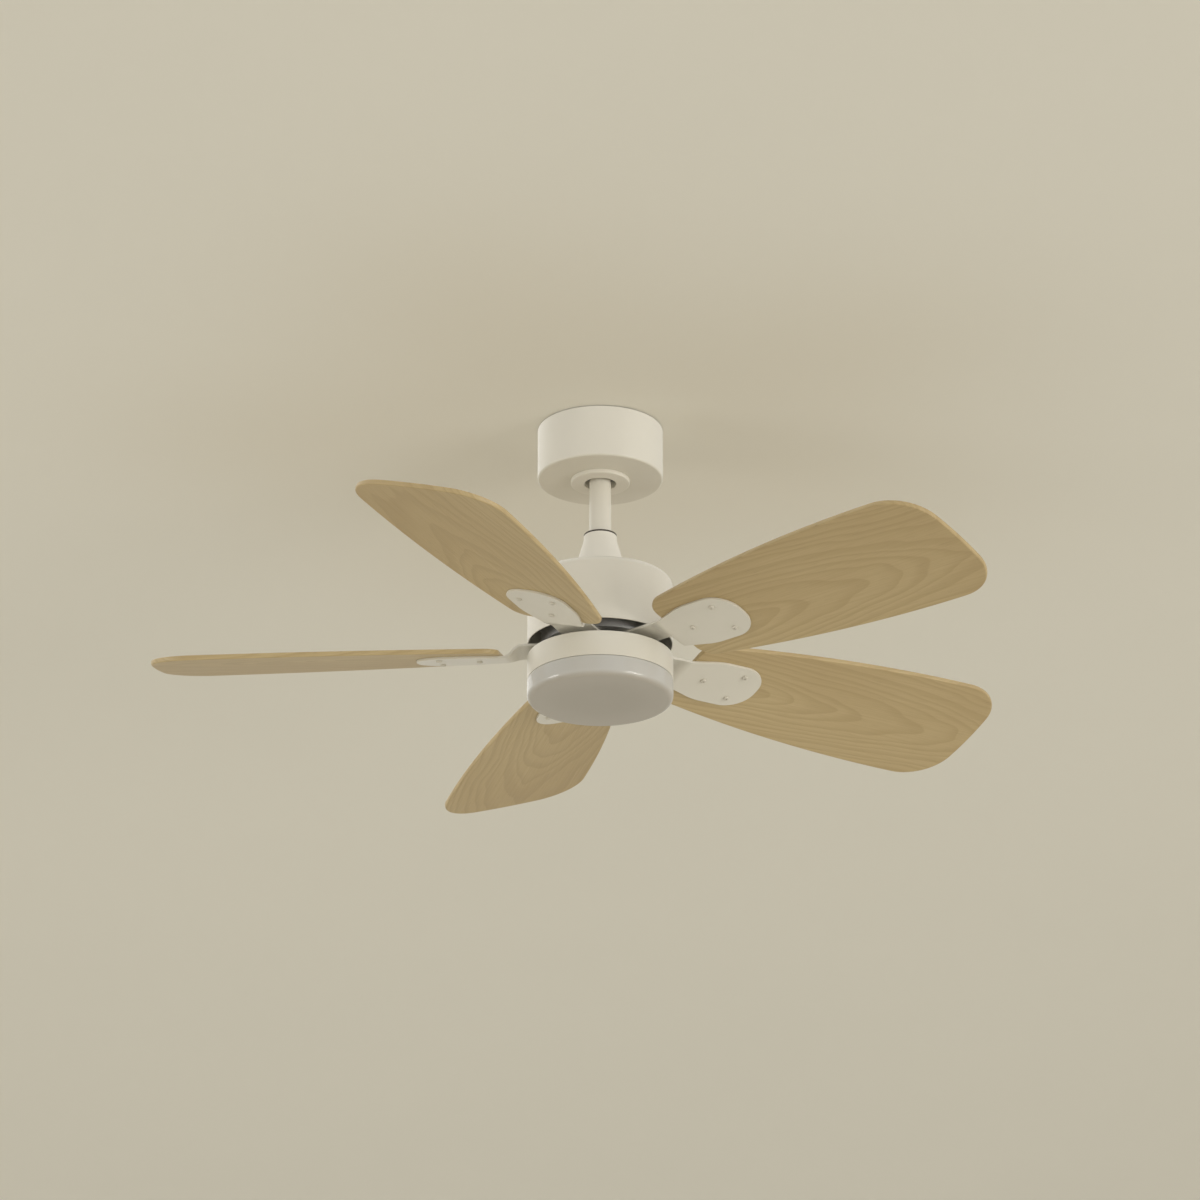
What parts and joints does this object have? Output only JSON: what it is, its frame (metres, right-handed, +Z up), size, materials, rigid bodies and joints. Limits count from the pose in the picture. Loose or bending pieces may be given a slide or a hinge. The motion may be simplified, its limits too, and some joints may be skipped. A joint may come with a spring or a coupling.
{
  "type": "ceiling fan",
  "caption": "Ceiling fan with pitched wooden blades on white irons, a drum motor on a short rod below a cup canopy, and a round opal light of the drum's width.",
  "frame": {"origin": "centre of the hanger bracket's upper face, on the ceiling plane and on the fan's axis", "axes": "+Z up into the ceiling, X along the bracket's two slots (to the right in the picture), -Y towards the picture's camera"},
  "size_m": [1.015, 1.0361, 0.3513],
  "materials": {
    "white_paint": "satin warm white enamel",
    "white_plastic": "satin moulded plastic",
    "zinc_steel": "zinc-plated sheet steel",
    "screw_steel": "zinc-plated fastener",
    "white_screw": "painted screw heads",
    "bearing_steel": "ground steel",
    "black_nylon": "moulded nylon",
    "dark_rubber": "soft seal",
    "case_plastic": "moulded case",
    "terminal_plastic": "moulded block",
    "core_steel": "stacked sheet steel",
    "copper": "enamelled winding wire",
    "rotor_metal": "die-cast aluminium",
    "magnet": "ferrite",
    "board": "white-faced metal board",
    "chip": "light chips with a yellow face",
    "opal": "unlit opal diffuser",
    "blade_wood": "pale wood board, satin"
  },
  "bodies": {
    "ceiling_mount": {"hanger_bracket": "zinc_steel", "receiver_case": "case_plastic", "terminal_block": "terminal_plastic", "canopy": "white_paint", "canopy_screws": "screw_steel", "canopy_ring": "white_plastic"},
    "hung_fan": {"hanger_ball": "black_nylon", "cross_pin": "screw_steel", "downrod": "white_paint", "rod_yoke": "zinc_steel", "clevis_pin": "screw_steel", "cotter_pin": "screw_steel", "yoke_set_screws": "screw_steel", "coupling_cover": "white_plastic", "cover_seal": "dark_rubber", "motor_housing": "white_paint", "housing_screws": "screw_steel", "motor_shaft": "bearing_steel", "bearing_inner_rings": "bearing_steel", "stator_core": "core_steel", "stator_windings": "copper", "light_plate": "zinc_steel", "light_housing": "white_paint", "shaft_nut": "screw_steel", "light_screws": "screw_steel", "led_driver": "case_plastic", "led_board": "board", "led_screws": "screw_steel", "led_chips": "chip", "diffuser": "opal"},
    "rotor": {"rotor_top_shell": "rotor_metal", "rotor_bottom_shell": "rotor_metal", "rotor_screws": "screw_steel", "rotor_magnets": "magnet", "bearing_outer_rings": "bearing_steel", "bearing_balls": "bearing_steel", "iron_screws": "screw_steel", "blade_screws": "white_screw", "blade_iron_1": "white_paint", "blade_1": "blade_wood", "blade_iron_2": "white_paint", "blade_2": "blade_wood", "blade_iron_3": "white_paint", "blade_3": "blade_wood", "blade_iron_4": "white_paint", "blade_4": "blade_wood", "blade_iron_5": "white_paint", "blade_5": "blade_wood"}
  },
  "joints": [
    {"name": "hanger_swing", "type": "hinge", "parent": "ceiling_mount", "child": "hung_fan", "pos_m": [0, 0, -0.033], "axis": [1, 0, 0], "range_deg": [-7, 7]},
    {"name": "rotor_spin", "type": "hinge", "parent": "hung_fan", "child": "rotor", "pos_m": [0, 0, -0.24625], "axis": [0, 0, 1], "continuous": true}
  ]
}
